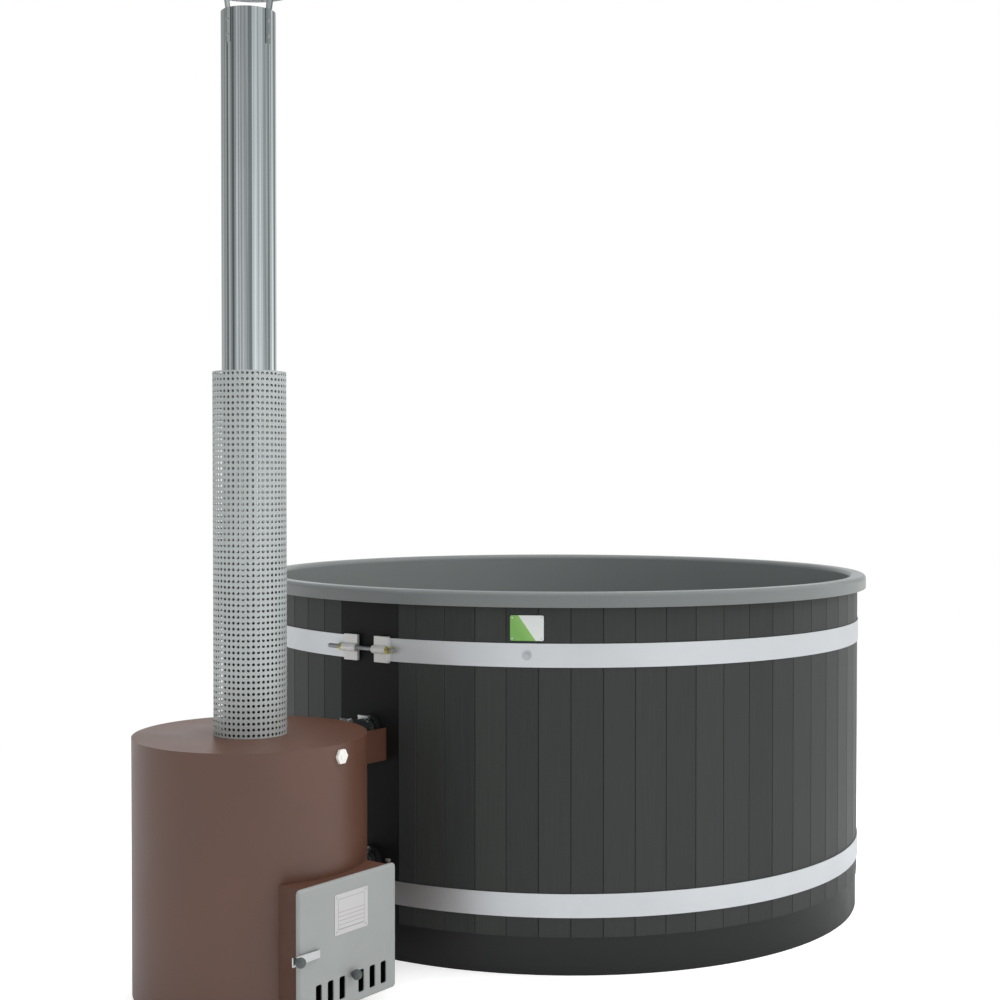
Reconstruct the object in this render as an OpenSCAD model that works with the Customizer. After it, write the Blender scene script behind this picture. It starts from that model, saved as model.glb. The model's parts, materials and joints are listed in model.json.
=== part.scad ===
// Round board-clad hot tub, heated by a wood-fired water-jacket stove that stands beside it.
// Millimetres, +Z up. The origin is on the floor at the tub's axis.
// The stove stands toward -X of the tub, and its door faces -Y.

/* [Tub] */
// Height of the tub from the floor to the top of the rim
tub_height = 1000; // [920:10:1100]
// Distance from the tub's axis to the face of a cladding board
cladding_radius = 914; // [860:2:980]
// How far the rim stands out past the board faces
rim_overhang = 26; // [22:1:32]
// Depth of the rim's turned-down lip
rim_depth = 40; // [34:1:60]
// Wall thickness of the moulded liner
liner_wall = 5; // [4:0.5:6]
// Depth of the bench below the rim's top
bench_drop = 520; // [500:5:560]
// Depth of the bench from the wall to its edge
bench_depth = 323; // [280:1:360]
// Height of the base skirt
skirt_height = 100; // [96:1:125]
// Wall thickness of the base skirt
skirt_wall = 18; // [12:1:22]

/* [Cladding] */
// Number of full-width boards
board_count = 64; // [56:1:72]
// Thickness of a board
board_thickness = 16; // [15:0.5:17]
// Width of the flat panel that the pipes pass through
panel_width = 203; // [190:1:220]
// Thickness of the flat panel
panel_thickness = 12; // [11:0.5:13]
// Reach of each board's tongue
tongue_reach = 6; // [4:0.5:8]
// Thickness of each board's tongue
tongue_thickness = 5; // [4:0.5:6]

/* [Straps] */
// Width of the steel straps
strap_width = 62; // [50:1:70]
// Thickness of the steel straps
strap_thickness = 2; // [1.5:0.1:3]
// Depth of the upper strap's middle below the rim's top
upper_strap_drop = 166; // [150:1:200]
// Height of the lower strap's middle above the floor
lower_strap_z = 183; // [160:1:186]
// Gap between a strap's two lugs
lug_gap = 60; // [40:1:80]
// Length of each lug along the strap
lug_length = 48; // [44:1:60]
// Radius of the threaded tension rod
rod_radius = 6; // [5:0.5:7]

/* [Water pipes] */
// Height of the upper pipe's axis above the bench
upper_pipe_rise = 132; // [120:1:136]
// Gap between the lower strap and the flange of the lower pipe
lower_pipe_gap = 2; // [1:0.5:10]
// Outer radius of the pipe stubs
pipe_radius = 28; // [26:0.5:29]
// Wall thickness of the rubber hoses
hose_wall = 5; // [4:0.5:6]
// Clear distance between the stove's jacket and the flat panel
stove_gap = 155; // [150:1:180]

/* [Stove] */
// Outer radius of the stove's jacket
jacket_radius = 289; // [280:1:310]
// Height of the jacket's flat top above the upper pipe's axis
jacket_rise = 49; // [48:1:88]
// Height of the feet under the jacket
foot_height = 31; // [26:1:34]
// Sheet thickness of the jacket
jacket_wall = 4; // [3:0.5:5]
// Width of the water space between the jacket and the firebox
water_gap = 54; // [44:1:64]
// Plate thickness of the firebox
firebox_wall = 5; // [4:0.5:6]
// Outer radius of the flue pipe
flue_radius = 67.5; // [62:0.5:70]
// Height of the flue pipe's open top above the floor
flue_top_z = 2440; // [2300:5:2600]
// Outer radius of the perforated flue guard
guard_radius = 90.5; // [84:0.5:100]
// Height of the perforated flue guard
guard_height = 896; // [800:1:960]
// Radius of the rain cap
cap_radius = 129; // [115:1:140]
// Height of the open space between the flue and the rain cap's rim
cap_gap = 64; // [50:1:80]

/* [Stove door] */
// Width of the door
door_width = 340; // [336:1:350]
// Height of the door
door_height = 306; // [304:1:312]
// How far the door's front face stands out past the jacket
door_stand = 41; // [36:1:56]
// Depth of the door's pressed pan
door_depth = 9; // [8.5:0.5:10]
// Width of the tunnel that the door closes
tunnel_width = 300; // [290:1:304]
// Height of the tunnel that the door closes
tunnel_height = 302; // [298:1:304]
// Width of each air slot
slot_width = 20.5; // [16:0.5:21]
// Height of each air slot
slot_height = 54; // [40:1:56]
// Spacing between the air slots of one group
slot_pitch = 40; // [38:0.5:42]
// Travel of the air slide
damper_travel = 16; // [12:0.5:16]

/* [Hidden] */
// Clearances, overrun and smoothness
fit_gap = 0.3;
running_gap = 0.08;
overrun = 5;
arc_steps = 7;
$fn = 72;
wide_fn = 180;

// Heights that follow the rim, the bench and the straps
bench_height = tub_height - bench_drop;
upper_strap_z = tub_height - upper_strap_drop;
flange_radius = 42;
upper_pipe_z = bench_height + upper_pipe_rise;
lower_pipe_z = lower_strap_z + strap_width / 2 + lower_pipe_gap + flange_radius;
jacket_top_z = upper_pipe_z + jacket_rise;

// Liner shape
rim_radius = cladding_radius + rim_overhang;
rim_crown = 1.5;
rim_outer_round = 12;
rim_inner_round = 14;
crown_round_share = 3;
wall_draft = 8;
bench_edge_round = 30;
footwell_draft = 8;

// Boards: the first and the last one beside the flat panel are ripped narrower
first_board_share = 0.66;
last_board_share = 0.9;
board_tuck = 20;
board_chamfer = 1.5;
joint_gap = 0.4;
panel_angle = 2 * asin(panel_width / 2 / cladding_radius);
board_angle = (360 - panel_angle) / (board_count + first_board_share + last_board_share);
corner_radius = cladding_radius / cos(board_angle / 2);
panel_face = corner_radius * cos(panel_angle / 2);
boards_top_z = tub_height - rim_depth + board_tuck;
board_height = boards_top_z - skirt_height;

// Space behind the cladding
shell_radius = min(panel_face - panel_thickness, cladding_radius - board_thickness) - fit_gap;
liner_radius = shell_radius - liner_wall;
bench_wall_radius = liner_radius - wall_draft;
footwell_radius = bench_wall_radius - bench_depth;
floor_radius = footwell_radius - footwell_draft;
rim_width = rim_radius - liner_radius;
skirt_setback = 2.5;
skirt_radius = cladding_radius - skirt_setback;
skirt_inner = skirt_radius - skirt_wall;
joist_count = 5;
joist_width = 45;
joist_pitch = 220;
joist_height = skirt_height - liner_wall;
floor_z = skirt_height;
hoop_thickness = 30;
lower_hoop_depth = 30;
bench_hoop_depth = 105;
lower_hoop_height = 40;

// Strap fittings
strap_inner = corner_radius + fit_gap;
strap_outer = strap_inner + strap_thickness;
strap_tuck = 6;
lug_thickness = 8;
lug_overlap = 4;
lug_height = strap_width + 2 * lug_overlap;
lug_tube_radius = 11;
rod_lift = 3;
rod_length = 226;
rod_shift = 16;
rod_axis = strap_outer + lug_thickness + rod_lift;
nut_flat = 19;
nut_thickness = 10;
screw_angle = 29.2;
screw_washer_radius = 12.5;
screw_washer_thickness = 1.5;
screw_head_radius = 6.5;
screw_head_height = 4;
badge_width = 88;
badge_height = 66;
badge_thickness = 2;
badge_round = 4;
badge_lift = 7;
badge_z = upper_strap_z + strap_width / 2 + badge_lift + badge_height / 2;
badge_rivet_radius = 2.2;
badge_rivet_height = 1;
badge_rivet_inset = 6;

// Drain in the tub's floor
drain_x = 200;
drain_y = joist_pitch / 2;
drain_radius = 30;
drain_wall = 5;
drain_flange_radius = 45;
drain_flange_thickness = 4;
drain_depth = 80;
drain_nut_radius = 40;
drain_nut_thickness = 10;
outlet_radius = 25;
outlet_wall = 3;
outlet_z = 48;
outlet_reach = 15;
tail_radius = 20;
tail_wall = 3;
tail_length = 55;
plug_flange_radius = 34;
plug_flange_thickness = 5;
plug_depth = 18;
plug_ring_radius = 9;
plug_ring_wire = 2;
plug_post_radius = 4;
plug_post_height = 6;

// Pipe stubs, wall fittings, hoses and clamps
pipe_wall = 3;
tub_stub_length = 55;
stove_stub_length = 75;
stove_stub_inside = 12;
flange_thickness = 14;
fitting_hole_gap = 0.5;
locknut_radius = 42;
locknut_thickness = 12;
strainer_thickness = 4;
strainer_hole_radius = 3.5;
strainer_ring_share = [0.3, 0.6];
strainer_ring_count = [6, 12];
hose_bore_gap = 0.2;
hose_end_gap = 4;
hose_inner = pipe_radius + hose_bore_gap;
hose_outer = hose_inner + hose_wall;
clamp_band = 1;
clamp_width = 13;
clamp_place_share = [0.375, 0.83];
clamp_box_length = 24;
clamp_box_height = 8;
clamp_screw_radius = 3.6;
clamp_screw_length = 34;
clamp_head_flat = 10;
clamp_head_length = 6;
trough_width = 120;
trough_rise = 11;
trough_drop = 76;
trough_sheet = 3;

// Door frame, door and hinges, as distances from the stove's axis: across and toward the front
tunnel_sheet = 4;
door_base_z = 48;
tunnel_centre_z = door_base_z + door_height / 2;
tunnel_base = tunnel_centre_z - tunnel_height / 2;
door_round = 10;
door_sheet = 3;
door_seat = 1.5;
door_front = jacket_radius + door_stand;
door_back = door_front - door_depth;
tunnel_front = door_back - door_seat;
skin_back = door_front - door_sheet;
pin_radius = 4;
rod_head_radius = 6.5;
rod_head_height = 5;
knuckle_radius = 8;
knuckle_height = 30;
hinge_side_gap = 2;
hinge_back_gap = 1;
hinge_across = tunnel_width / 2 + knuckle_radius + hinge_side_gap;
hinge_front = door_back - knuckle_radius - hinge_back_gap;
hinge_leaf = 3;
hinge_leaf_depth = 32;
hinge_heights_share = [0.17, 0.82];
slot_round = 5;
slot_group_gap = 66;
slot_centre = 9;
slot_rise = 21;
slot_z = door_base_z + slot_height / 2 + slot_rise;
stem_drop = 2;
stem_z = slot_z + slot_height / 2 - stem_drop;
damper_sheet = 2;
damper_lap = 5;
damper_rest = 10;
stem_radius = 3.5;
stem_gap = 0.5;
knob_radius = 12.5;
knob_seat = 1;
knob_collar = 6;
knob_stand = 1.5;
guide_height = 10;
guide_lip = 2;
guide_lap = 4;
baffle_side_gap = 16;
baffle_width = tunnel_width - 2 * tunnel_sheet - 2 * baffle_side_gap;
baffle_height = 196;
baffle_sheet = 3;
baffle_stand = 28;
baffle_top_drop = 14;
baffle_stud_radius = 5;
baffle_stud_inset = 20;
plate_width = 115;
plate_height = 96;
plate_sheet = 1.2;
plate_round = 3;
plate_centre = 6.5;
plate_z = 271.5;
plate_rivet_radius = 2.5;
plate_rivet_height = 1;
plate_rivet_inset = 7;

// Stove body
stove_x = -(panel_face + stove_gap + jacket_radius);
foot_radius = 20;
foot_pad_radius = 26;
foot_pad_height = 6;
foot_inset = 59;
foot_ring = jacket_radius - foot_inset;
foot_count = 4;
crown_drop = 116;
firebox_radius = jacket_radius - water_gap;
firebox_floor = tunnel_base + tunnel_sheet;
neck_rise = 60;
neck_wall = 3;
flue_wall = 1.5;
neck_radius = flue_radius - flue_wall - fit_gap;
grate_radius = 140;
grate_thickness = 15;
grate_rise = 62;
grate_slots = 9;
grate_slot_share = 0.45;
grate_leg_radius = 10;
grate_leg_ring_share = 0.8;
plug_flat = 33;
plug_height = 7;
plug_turn = 3.2;
plug_boss_radius = 8;
plug_boss_height = 1.5;
plug_shank_radius = 11;
plug_drop = 29;

// Flue guard, cap and brackets
guard_wall = 1.5;
guard_columns = 16;
guard_pitch = 35.5;
guard_hole_radius = 9.5;
guard_margin = 18;
spacer_count = 3;
spacer_radius = 5;
spacer_drop = 30;
cap_sheet = 1.5;
cap_rise = 62;
cap_edge = 8;
cap_slope = cap_rise / cap_radius;
cap_rim_z = flue_top_z + cap_gap;
bracket_count = 4;
bracket_width = 15;
bracket_sheet = 2;
bracket_lap = 85;
bracket_top_radius = 84;
bracket_tab = 18;
cap_rivet_radius = 4;
cap_rivet_height = 1.5;
cap_rivet_drops = [30.5, 67];

// Latch lever, tongue and keeper
lever_z = 198;
pivot_inset = 33;
lever_pivot_across = pivot_inset - tunnel_width / 2;
lever_tail = 10;
lever_length = 78;
lever_tip_height = 22;
lever_tail_height = 18;
lever_sheet = 4;
lever_stand = 3;
lever_knob_inset = 10;
pivot_radius = 5;
pivot_boss_radius = 9;
pivot_nut_thickness = 7;
tongue_height = 9;
tongue_sheet = 4;
tongue_stand = 14;
tongue_side_gap = 3;
tongue_tail = 7;
tongue_front = skin_back - tongue_stand;
keeper_reach = 12;
keeper_depth = 14;
keeper_height = 10;
keeper_lap = 4;

// Paths with rounded corners: d moves the path to its left, as a sheet's other face
function unit(v) = v / norm(v);
function left_of(v) = [-v[1], v[0]];
function turned(v, a) = [v[0] * cos(a) - v[1] * sin(a), v[0] * sin(a) + v[1] * cos(a)];
function turn_angle(u, v) = atan2(cross(u, v), u * v);
function mitred(a, b, c, d) =
    let (m = left_of(unit(b - a)), n = left_of(unit(c - b)))
    b + d * (m + n) / (1 + m * n);
function corner_at(p, i, d) =
    i == 0 ? p[0] + d * left_of(unit(p[1] - p[0]))
    : i == len(p) - 1 ? p[i] + d * left_of(unit(p[i] - p[i - 1]))
    : mitred(p[i - 1], p[i], p[i + 1], d);
function rounded_corner(p, i, r, d) =
    let (u = unit(p[i] - p[i - 1]),
         v = unit(p[i + 1] - p[i]),
         a = turn_angle(u, v),
         radius = r - sign(a) * d,
         b = corner_at(p, i, d),
         start = b - u * radius * tan(abs(a) / 2),
         centre = start + left_of(u) * radius * sign(a))
    [for (k = [0:arc_steps]) centre + turned(start - centre, a * k / arc_steps)];
function rounded_path(p, r, d) =
    [for (i = [0:len(p) - 1])
        each (r[i] > 0 ? rounded_corner(p, i, r[i], d) : [corner_at(p, i, d)])];
function reversed(list) = [for (i = [len(list) - 1:-1:0]) list[i]];
function sheet_outline(p, r, d) = concat(rounded_path(p, r, 0), reversed(rounded_path(p, r, d)));

// Radii of the liner's wall at a height
function wall_radius_at(z) =
    bench_wall_radius + wall_draft * (z - bench_height) / (tub_height - rim_crown - bench_height);
function footwell_radius_at(z) =
    floor_radius + footwell_draft * (z - floor_z) / (bench_height - floor_z);

// How far out a nut of the locknut's radius can lie against a wall of radius r
function seat_at(r) = sqrt(r * r - locknut_radius * locknut_radius) - fit_gap;
upper_seat = seat_at(wall_radius_at(upper_pipe_z - locknut_radius));
lower_seat = seat_at(footwell_radius_at(lower_pipe_z - locknut_radius));

// Tube standing on z = 0
module tube(outer, inner, height) {
    difference() {
        cylinder(r = outer, h = height);
        translate([0, 0, -overrun]) cylinder(r = inner, h = height + 2 * overrun);
    }
}

module cylinder_between(r, low, high) {
    translate([0, 0, low]) cylinder(r = r, h = high - low);
}

// Turns a shape that stands along +Z to lie along +X, starting at the given place
module along_x(x, y, z) {
    translate([x, y, z]) rotate([0, 90, 0]) children();
}

// Turns a shape that stands along +Z to lie along +Y
module along_y(x, y, z) {
    translate([x, y, z]) rotate([-90, 0, 0]) children();
}

// Stove places: across is along +X from the stove's axis, front is toward -Y
module at_stove(across, front, z) {
    translate([stove_x + across, -front, z]) children();
}

// Extrudes an upright outline, drawn across and up, from one distance at the front to another
module upright_sheet(from, to) {
    at_stove(0, from, 0) rotate([90, 0, 0]) linear_extrude(to - from) children();
}

module rounded_rect(w, h, r) {
    square([w - 2 * r, h], center = true);
    square([w, h - 2 * r], center = true);
    for (x = [-1, 1], y = [-1, 1])
        translate([x * (w / 2 - r), y * (h / 2 - r)]) circle(r = r, $fn = 32);
}

// Places round the tub: a turns from the stove's side, toward the door's side
module round_tub(a, r, z) {
    rotate([0, 0, 180 + a]) translate([r, 0, z]) children();
}

// The liner is welded from four sections, which leave a weld's gap where a curved edge meets
rim_path = [
    [rim_radius, tub_height - rim_depth],
    [rim_radius, tub_height - rim_crown],
    [(rim_radius + liner_radius) / 2, tub_height],
    [liner_radius, tub_height - rim_crown],
    [bench_wall_radius, bench_height - liner_wall + fit_gap]];
rim_rounds = [0, rim_outer_round, crown_round_share * rim_width, rim_inner_round, 0];
footwell_path = [
    [footwell_radius + 2 * bench_edge_round, bench_height],
    [footwell_radius, bench_height],
    [floor_radius, floor_z - liner_wall + fit_gap]];
footwell_rounds = [0, bench_edge_round, 0];

module pipe_hole(z) {
    along_x(-rim_radius, 0, z) cylinder(r = pipe_radius + fitting_hole_gap, h = rim_radius);
}

module liner_wall_section() {
    color("#767b7a") difference() {
        rotate_extrude($fn = wide_fn) polygon(sheet_outline(rim_path, rim_rounds, liner_wall));
        pipe_hole(upper_pipe_z);
    }
}

module liner_bench() {
    color("#767b7a") translate([0, 0, bench_height - liner_wall])
        tube(bench_wall_radius - fit_gap, footwell_radius + 2 * bench_edge_round + fit_gap, liner_wall,
             $fn = wide_fn);
}

module liner_footwell() {
    color("#767b7a") difference() {
        rotate_extrude($fn = wide_fn) polygon(sheet_outline(footwell_path, footwell_rounds, liner_wall));
        pipe_hole(lower_pipe_z);
    }
}

module liner_floor() {
    color("#767b7a") translate([0, 0, floor_z - liner_wall]) difference() {
        cylinder(r = floor_radius - fit_gap, h = liner_wall, $fn = wide_fn);
        translate([drain_x, drain_y, -overrun])
            cylinder(r = drain_radius + fitting_hole_gap, h = liner_wall + 2 * overrun);
    }
}

module base_skirt() {
    color("#2a2b2b") difference() {
        tube(skirt_radius, skirt_inner, skirt_height, $fn = wide_fn);
        along_x(0, drain_y, outlet_z)
            cylinder(r = outlet_radius + fitting_hole_gap, h = skirt_radius + overrun);
    }
}

module floor_joists() {
    first = -(joist_count - 1) / 2 * joist_pitch;
    color("#a98f66") intersection() {
        cylinder(r = skirt_inner - fit_gap, h = joist_height, $fn = wide_fn);
        for (i = [0:joist_count - 1])
            translate([-skirt_radius, first + i * joist_pitch - joist_width / 2, 0])
                cube([2 * skirt_radius, joist_width, joist_height]);
    }
}

// Ring behind the boards, cut where a water pipe passes through it
module hoop(z, depth, height) {
    difference() {
        translate([0, 0, z]) tube(shell_radius, shell_radius - depth, height, $fn = wide_fn);
        pipe_hole(upper_pipe_z);
        pipe_hole(lower_pipe_z);
    }
}

module lower_hoop() {
    color("#b39a70") hoop(lower_strap_z - lower_hoop_height / 2, lower_hoop_depth, lower_hoop_height);
}

module bench_hoop() {
    color("#b39a70")
        hoop(bench_height - liner_wall - hoop_thickness, bench_hoop_depth, hoop_thickness);
}

// Edges of a board in plan, as [depth from its face, reach past the joint's line]
function plain_edge() = [[board_chamfer, -joint_gap / 2], [board_thickness, -joint_gap / 2]];
function tongue_edge() =
    let (d = (board_thickness - tongue_thickness) / 2, out = tongue_reach - joint_gap / 2)
    [[board_chamfer, -joint_gap / 2], [d, -joint_gap / 2], [d, out],
     [d + tongue_thickness, out], [d + tongue_thickness, -joint_gap / 2],
     [board_thickness, -joint_gap / 2]];
function groove_edge() =
    let (d = (board_thickness - tongue_thickness) / 2 - fit_gap,
         deep = -(tongue_reach + fit_gap) - joint_gap / 2)
    [[board_chamfer, -joint_gap / 2], [d, -joint_gap / 2], [d, deep],
     [d + tongue_thickness + 2 * fit_gap, deep],
     [d + tongue_thickness + 2 * fit_gap, -joint_gap / 2],
     [board_thickness, -joint_gap / 2]];

// A board's plan: face toward +X, edges square to the mitre lines at half its angle each side
function edge_points(half, side, edge) =
    [for (p = edge)
        let (along = corner_radius - p[0])
        [along * cos(half) - p[1] * sin(half), side * (along * sin(half) + p[1] * cos(half))]];
function face_point(half, side) =
    [corner_radius * cos(half), side * (corner_radius * sin(half) - board_chamfer)];

module board(angle, low_edge, high_edge) {
    half = angle / 2;
    linear_extrude(board_height)
        polygon(concat([face_point(half, 1)], edge_points(half, 1, high_edge),
                       reversed(edge_points(half, -1, low_edge)), [face_point(half, -1)]));
}

module cladding_boards() {
    start = 180 + panel_angle / 2;
    first = first_board_share * board_angle;
    last = last_board_share * board_angle;
    color("#3b3e3d") translate([0, 0, skirt_height]) {
        rotate([0, 0, start + first / 2]) board(first, plain_edge(), tongue_edge());
        for (i = [0:board_count - 1])
            rotate([0, 0, start + first + (i + 0.5) * board_angle])
                board(board_angle, groove_edge(), tongue_edge());
        rotate([0, 0, start - panel_angle - last / 2]) board(last, groove_edge(), plain_edge());
    }
}

module pipe_panel() {
    half = panel_angle / 2;
    low = panel_face - panel_thickness;
    trim = joint_gap / 2 / cos(half);
    color("#343736") difference() {
        translate([0, 0, skirt_height]) rotate([0, 0, 180]) linear_extrude(board_height)
            polygon([[panel_face, panel_face * tan(half) - trim], [low, low * tan(half) - trim],
                     [low, trim - low * tan(half)], [panel_face, trim - panel_face * tan(half)]]);
        for (z = [upper_pipe_z, lower_pipe_z])
            along_x(-rim_radius, 0, z)
                cylinder(r = pipe_radius + fitting_hole_gap, h = rim_radius / 2);
    }
}

module strap(z) {
    open = asin((lug_gap / 2 + strap_tuck) / strap_outer);
    color("#c6c9cc") rotate([0, 0, 180 + open]) rotate_extrude(angle = 360 - 2 * open, $fn = wide_fn)
        translate([strap_inner, z - strap_width / 2]) square([strap_thickness, strap_width]);
}

module upper_strap() { strap(upper_strap_z); }
module lower_strap() { strap(lower_strap_z); }

// A lug lies on the strap's end and holds the rod in a pressed tube
module lug(side, z) {
    near = side > 0 ? lug_gap / 2 : -lug_gap / 2 - lug_length;
    difference() {
        union() {
            translate([-strap_outer - lug_thickness, near, z - lug_height / 2])
                cube([lug_thickness + overrun, lug_length, lug_height]);
            along_y(-rod_axis, near, z) cylinder(r = lug_tube_radius, h = lug_length);
        }
        cylinder(r = strap_outer + fit_gap, h = tub_height, $fn = wide_fn);
        along_y(-rod_axis, near - overrun, z)
            cylinder(r = rod_radius + fit_gap, h = lug_length + 2 * overrun);
    }
}

module strap_lugs() {
    color("#cfd1d3") for (z = [upper_strap_z, lower_strap_z], side = [-1, 1]) lug(side, z);
}

module tension_rods() {
    color("#9aa0a3") for (z = [upper_strap_z, lower_strap_z])
        along_y(-rod_axis, rod_shift - rod_length / 2, z) cylinder(r = rod_radius, h = rod_length);
}

module rod_nuts() {
    seat = lug_gap / 2 + lug_length;
    color("#b9b063") for (z = [upper_strap_z, lower_strap_z], side = [-1, 1])
        along_y(-rod_axis, side > 0 ? seat : -seat - nut_thickness, z) difference() {
            cylinder(r = nut_flat / 2 / cos(30), h = nut_thickness, $fn = 6);
            translate([0, 0, -overrun])
                cylinder(r = rod_radius + running_gap, h = nut_thickness + 2 * overrun);
        }
}

module strap_screw() {
    color("#d4d6d8") round_tub(screw_angle, strap_outer + fit_gap, upper_strap_z)
        rotate([0, 90, 0]) {
            cylinder(r = screw_washer_radius, h = screw_washer_thickness);
            translate([0, 0, screw_washer_thickness])
                cylinder(r = screw_head_radius, h = screw_head_height);
        }
}

module badge_plate() {
    color("#a9bd9a") round_tub(screw_angle, strap_inner, badge_z)
        rotate([90, 0, 90]) linear_extrude(badge_thickness)
            rounded_rect(badge_width, badge_height, badge_round);
}

module badge_rivets() {
    across = badge_width / 2 - badge_rivet_inset;
    up = badge_height / 2 - badge_rivet_inset;
    color("#d8dadb") round_tub(screw_angle, strap_inner + badge_thickness, badge_z)
        rotate([90, 0, 90]) for (x = [-across, across], y = [-up, up])
            translate([x, y, 0]) cylinder(r = badge_rivet_radius, h = badge_rivet_height);
}

// Drain body: a flanged cup through the floor, with a port toward the outlet pipe
module drain_fitting() {
    top = floor_z + drain_flange_thickness;
    bottom = top - drain_depth;
    color("#3a3d3f") difference() {
        translate([drain_x, drain_y, 0]) union() {
            translate([0, 0, floor_z])
                cylinder(r = drain_flange_radius, h = drain_flange_thickness);
            translate([0, 0, bottom]) cylinder(r = drain_radius, h = drain_depth);
        }
        translate([drain_x, drain_y, bottom + drain_wall])
            cylinder(r = drain_radius - drain_wall, h = drain_depth);
        along_x(drain_x, drain_y, outlet_z)
            cylinder(r = outlet_radius - outlet_wall, h = drain_radius + overrun);
    }
}

module drain_locknut() {
    color("#3a3d3f")
        translate([drain_x, drain_y, floor_z - liner_wall - drain_nut_thickness])
            tube(drain_nut_radius, drain_radius + running_gap, drain_nut_thickness);
}

module drain_pipe() {
    start = drain_x + drain_radius + fit_gap;
    length = skirt_radius + outlet_reach - start;
    color("#6b6f72") along_x(start, drain_y, outlet_z) difference() {
        union() {
            cylinder(r = outlet_radius, h = length);
            cylinder(r = tail_radius, h = length + tail_length);
        }
        translate([0, 0, -overrun])
            cylinder(r = tail_radius - tail_wall, h = length + tail_length + 2 * overrun);
    }
}

module drain_plug() {
    seat = floor_z + drain_flange_thickness + fit_gap;
    color("#2b2b2c") translate([drain_x, drain_y, seat]) {
        cylinder(r = plug_flange_radius, h = plug_flange_thickness);
        translate([0, 0, -plug_depth])
            cylinder(r = drain_radius - drain_wall - fit_gap, h = plug_depth);
        cylinder(r = plug_post_radius, h = plug_flange_thickness + plug_post_height);
        translate([0, 0, plug_flange_thickness + plug_post_height + plug_ring_radius])
            rotate([90, 0, 0]) rotate_extrude()
                translate([plug_ring_radius, 0]) circle(r = plug_ring_wire, $fn = 24);
    }
}

// Stub outside the flat panel, flange, and barrel through the wall
module wall_fitting(seat, z) {
    inside = seat - locknut_thickness + fit_gap;
    difference() {
        union() {
            along_x(-panel_face - flange_thickness, 0, z) cylinder(r = flange_radius, h = flange_thickness);
            along_x(-panel_face - tub_stub_length, 0, z)
                cylinder(r = pipe_radius, h = panel_face + tub_stub_length - inside);
        }
        along_x(-panel_face - tub_stub_length - overrun, 0, z)
            cylinder(r = pipe_radius - pipe_wall, h = panel_face + tub_stub_length + 2 * overrun);
    }
}

module upper_wall_fitting() { color("#262829") wall_fitting(upper_seat, upper_pipe_z); }
module lower_wall_pipe() { color("#262829") wall_fitting(lower_seat, lower_pipe_z); }

module fitting_locknuts() {
    color("#3a3d3f") for (p = [[upper_seat, upper_pipe_z], [lower_seat, lower_pipe_z]])
        along_x(-p[0], 0, p[1]) tube(locknut_radius, pipe_radius + running_gap, locknut_thickness);
}

module strainer_grilles() {
    color("#4a4d4f") for (p = [[upper_seat, upper_pipe_z], [lower_seat, lower_pipe_z]])
        along_x(locknut_thickness - p[0], 0, p[1]) difference() {
            cylinder(r = locknut_radius, h = strainer_thickness);
            translate([0, 0, -overrun])
                cylinder(r = strainer_hole_radius, h = strainer_thickness + 2 * overrun, $fn = 24);
            for (ring = [0:len(strainer_ring_share) - 1], k = [1:strainer_ring_count[ring]])
                rotate([0, 0, k * 360 / strainer_ring_count[ring]])
                    translate([strainer_ring_share[ring] * locknut_radius, 0, -overrun])
                        cylinder(r = strainer_hole_radius, h = strainer_thickness + 2 * overrun, $fn = 24);
        }
}

module stove_stubs() {
    start = stove_x + jacket_radius - stove_stub_inside;
    color("#6e5a50") for (z = [upper_pipe_z, lower_pipe_z])
        along_x(start, 0, z)
            tube(pipe_radius, pipe_radius - pipe_wall, stove_stub_length + stove_stub_inside);
}

module hose(z) {
    start = stove_x + jacket_radius + hose_end_gap;
    color("#1d1e1f") along_x(start, 0, z)
        tube(hose_outer, hose_inner, -panel_face - flange_thickness - fit_gap - start);
}

module upper_hose() { hose(upper_pipe_z); }
module lower_hose() { hose(lower_pipe_z); }

// Worm-drive clamp: a band, a housing on top of it and a hexagon-headed screw through the housing
module clamp() {
    band = hose_outer + fit_gap + clamp_band;
    screw_z = band + clamp_screw_radius;
    difference() {
        union() {
            translate([0, 0, -clamp_width / 2]) cylinder(r = band, h = clamp_width);
            translate([-band - clamp_box_height, -clamp_box_length / 2, -clamp_width / 2])
                cube([band, clamp_box_length, clamp_width]);
        }
        translate([0, 0, -clamp_width]) cylinder(r = hose_outer + fit_gap, h = 2 * clamp_width);
    }
    along_y(-screw_z, -clamp_screw_length / 2, 0)
        cylinder(r = clamp_screw_radius, h = clamp_screw_length);
    along_y(-screw_z, -clamp_screw_length / 2 - clamp_head_length, 0)
        cylinder(r = clamp_head_flat / 2 / cos(30), h = clamp_head_length, $fn = 6);
}

module hose_clamps() {
    color("#b8babb") for (z = [upper_pipe_z, lower_pipe_z], share = clamp_place_share)
        along_x(stove_x + jacket_radius + share * stove_gap, 0, z) clamp();
}

// Open trough under the upper hose, from the jacket to the flat panel
module hose_trough() {
    bottom = upper_pipe_z - trough_drop;
    height = trough_drop + trough_rise;
    color("#6b564c") difference() {
        translate([stove_x, -trough_width / 2, bottom])
            cube([-panel_face - fit_gap - stove_x, trough_width, height]);
        translate([stove_x - overrun, trough_sheet - trough_width / 2, bottom + trough_sheet])
            cube([-panel_face - stove_x + 2 * overrun, trough_width - 2 * trough_sheet, height]);
        at_stove(0, 0, 0) cylinder(r = jacket_radius + fit_gap, h = jacket_top_z, $fn = wide_fn);
    }
}

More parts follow.
